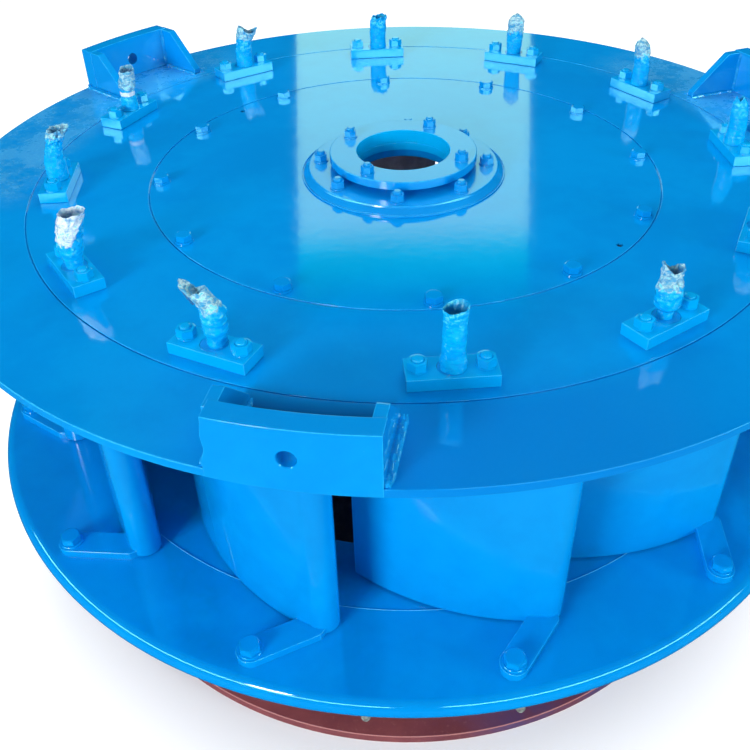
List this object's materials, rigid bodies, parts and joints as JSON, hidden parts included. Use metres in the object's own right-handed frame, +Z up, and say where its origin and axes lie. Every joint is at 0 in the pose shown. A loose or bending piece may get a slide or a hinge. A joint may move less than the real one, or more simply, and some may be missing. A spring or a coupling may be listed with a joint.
{
  "type": "kaplan turbine guide-vane distributor",
  "caption": "Round guide-vane distributor of a vertical Kaplan turbine: top cover and bottom ring with turning vanes between, on a flanged discharge ring.",
  "frame": {"origin": "on the turbine axis at the underside of the discharge ring, where it stands on the floor", "axes": "+Z up along the turbine axis; -Y towards the lifting lug nearest the viewer"},
  "size_m": [2.4, 2.4, 1.318],
  "materials": {
    "casing": "gloss azure blue enamel, orange peel and overspray",
    "vane": "gloss azure blue enamel over smooth castings",
    "fitting": "gloss azure blue enamel over cut bar",
    "primer": "matt red oxide primer"
  },
  "bodies": {
    "casing": {"discharge_ring_lower_flange": "primer", "discharge_ring_shell": "primer", "discharge_ring_upper_flange": "primer", "bottom_ring": "casing", "cover_outer_ring": "casing", "head_cover": "casing", "inner_cover": "casing", "hub_base_ring": "casing", "hub_flange": "casing", "lifting_lug_1": "casing", "lifting_lug_2": "casing", "lifting_lug_3": "casing", "stem_plate_01": "fitting", "stem_plate_02": "fitting", "stem_plate_03": "fitting", "stem_plate_04": "fitting", "stem_plate_05": "fitting", "stem_plate_06": "fitting", "stem_plate_07": "fitting", "stem_plate_08": "fitting", "stem_plate_09": "fitting", "stem_plate_10": "fitting", "stem_plate_11": "fitting", "stem_plate_12": "fitting", "stop_bar_01": "fitting", "stop_bar_02": "fitting", "stop_bar_03": "fitting", "stop_bar_04": "fitting", "stop_bar_05": "fitting", "stop_bar_06": "fitting", "stop_bar_07": "fitting", "stop_bar_08": "fitting", "stop_bar_09": "fitting", "stop_bar_10": "fitting", "stop_bar_11": "fitting", "stop_bar_12": "fitting"},
    "vane_01": {"guide_vane_01": "vane"},
    "vane_02": {"guide_vane_02": "vane"},
    "vane_03": {"guide_vane_03": "vane"},
    "vane_04": {"guide_vane_04": "vane"},
    "vane_05": {"guide_vane_05": "vane"},
    "vane_06": {"guide_vane_06": "vane"},
    "vane_07": {"guide_vane_07": "vane"},
    "vane_08": {"guide_vane_08": "vane"},
    "vane_09": {"guide_vane_09": "vane"},
    "vane_10": {"guide_vane_10": "vane"},
    "vane_11": {"guide_vane_11": "vane"},
    "vane_12": {"guide_vane_12": "vane"}
  },
  "joints": [
    {"name": "vane_01_turn", "type": "hinge", "parent": "casing", "child": "vane_01", "pos_m": [0.05537, -0.90531, 0.79], "axis": [0, 0, -1], "range_deg": [-14, 26]},
    {"name": "vane_02_turn", "type": "hinge", "parent": "casing", "child": "vane_02", "pos_m": [0.50061, -0.75633, 0.79], "axis": [0, 0, -1], "range_deg": [-14, 26]},
    {"name": "vane_03_turn", "type": "hinge", "parent": "casing", "child": "vane_03", "pos_m": [0.81171, -0.4047, 0.79], "axis": [0, 0, -1], "range_deg": [-14, 26]},
    {"name": "vane_04_turn", "type": "hinge", "parent": "casing", "child": "vane_04", "pos_m": [0.90531, 0.05537, 0.79], "axis": [0, 0, -1], "range_deg": [-14, 26]},
    {"name": "vane_05_turn", "type": "hinge", "parent": "casing", "child": "vane_05", "pos_m": [0.75633, 0.50061, 0.79], "axis": [0, 0, -1], "range_deg": [-14, 26]},
    {"name": "vane_06_turn", "type": "hinge", "parent": "casing", "child": "vane_06", "pos_m": [0.4047, 0.81171, 0.79], "axis": [0, 0, -1], "range_deg": [-14, 26]},
    {"name": "vane_07_turn", "type": "hinge", "parent": "casing", "child": "vane_07", "pos_m": [-0.05537, 0.90531, 0.79], "axis": [0, 0, -1], "range_deg": [-14, 26]},
    {"name": "vane_08_turn", "type": "hinge", "parent": "casing", "child": "vane_08", "pos_m": [-0.50061, 0.75633, 0.79], "axis": [0, 0, -1], "range_deg": [-14, 26]},
    {"name": "vane_09_turn", "type": "hinge", "parent": "casing", "child": "vane_09", "pos_m": [-0.81171, 0.4047, 0.79], "axis": [0, 0, -1], "range_deg": [-14, 26]},
    {"name": "vane_10_turn", "type": "hinge", "parent": "casing", "child": "vane_10", "pos_m": [-0.90531, -0.05537, 0.79], "axis": [0, 0, -1], "range_deg": [-14, 26]},
    {"name": "vane_11_turn", "type": "hinge", "parent": "casing", "child": "vane_11", "pos_m": [-0.75633, -0.50061, 0.79], "axis": [0, 0, -1], "range_deg": [-14, 26]},
    {"name": "vane_12_turn", "type": "hinge", "parent": "casing", "child": "vane_12", "pos_m": [-0.4047, -0.81171, 0.79], "axis": [0, 0, -1], "range_deg": [-14, 26]}
  ]
}
